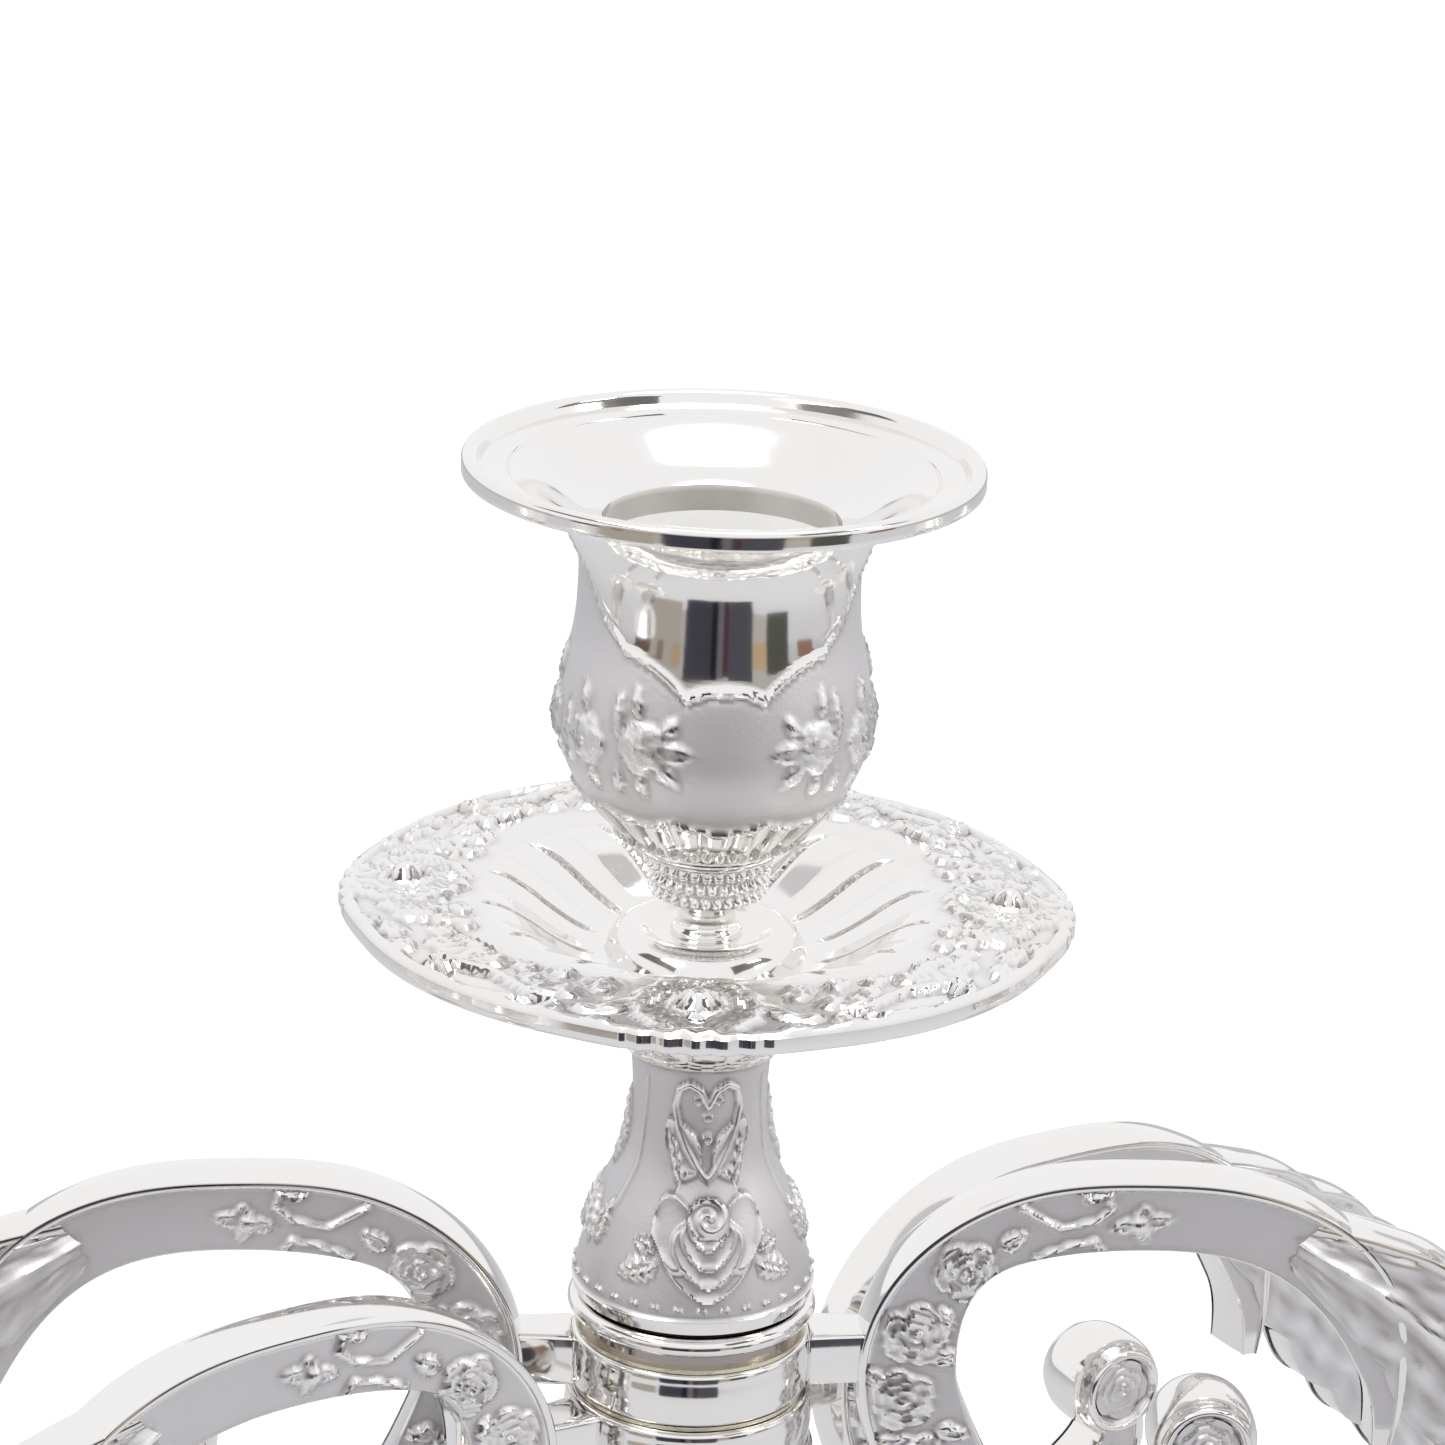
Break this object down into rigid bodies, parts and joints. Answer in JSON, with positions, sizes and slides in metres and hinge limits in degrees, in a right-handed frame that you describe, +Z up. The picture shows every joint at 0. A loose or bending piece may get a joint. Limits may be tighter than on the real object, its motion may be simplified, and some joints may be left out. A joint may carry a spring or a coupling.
{
  "type": "tabletop candelabra",
  "caption": "Table candelabra: a centre candle cup on a stem, with scroll arms on swivelling yokes, drip pans and a domed base.",
  "frame": {"origin": "middle of the felt where it meets the table", "axes": "+Z up along the column, +X out along the right-hand arm of the upper yoke"},
  "size_m": [0.3614, 0.2046, 0.3486],
  "materials": {
    "silver_plate": "bright silver plate on cast zinc, satin grounds behind the relief",
    "rod_steel": "zinc-plated threaded steel",
    "washer_brass": "plain brass shim",
    "ballast": "plain steel plate",
    "felt": "dark green felt"
  },
  "bodies": {
    "column": {"felt_pad": "felt", "ballast_plate": "ballast", "base_dome": "silver_plate", "rod_washer": "rod_steel", "rod_nut": "rod_steel", "tie_rod": "rod_steel", "base_collar": "silver_plate", "lower_stem": "silver_plate", "knop": "silver_plate", "middle_stem": "silver_plate", "hub_seat": "silver_plate", "upper_stem": "silver_plate", "swivel_washers": "washer_brass", "centre_pan": "silver_plate", "centre_cup": "silver_plate", "centre_stud": "rod_steel"},
    "upper_yoke": {"upper_yoke_ring": "silver_plate", "upper_right_arm": "silver_plate", "upper_right_pan": "silver_plate", "upper_right_cup": "silver_plate", "upper_right_stud": "rod_steel", "upper_left_arm": "silver_plate", "upper_left_pan": "silver_plate", "upper_left_cup": "silver_plate", "upper_left_stud": "rod_steel"},
    "lower_yoke": {"lower_yoke_ring": "silver_plate", "lower_right_arm": "silver_plate", "lower_right_pan": "silver_plate", "lower_right_cup": "silver_plate", "lower_right_stud": "rod_steel", "lower_left_arm": "silver_plate", "lower_left_pan": "silver_plate", "lower_left_cup": "silver_plate", "lower_left_stud": "rod_steel"}
  },
  "joints": [
    {"name": "upper_yoke_swivel", "type": "hinge", "parent": "column", "child": "upper_yoke", "pos_m": [0, 0, 0.2584], "axis": [0, 0, 1], "range_deg": [-62, 0]},
    {"name": "lower_yoke_swivel", "type": "hinge", "parent": "column", "child": "lower_yoke", "pos_m": [0, 0, 0.2524], "axis": [0, 0, 1], "range_deg": [0, 62]}
  ]
}
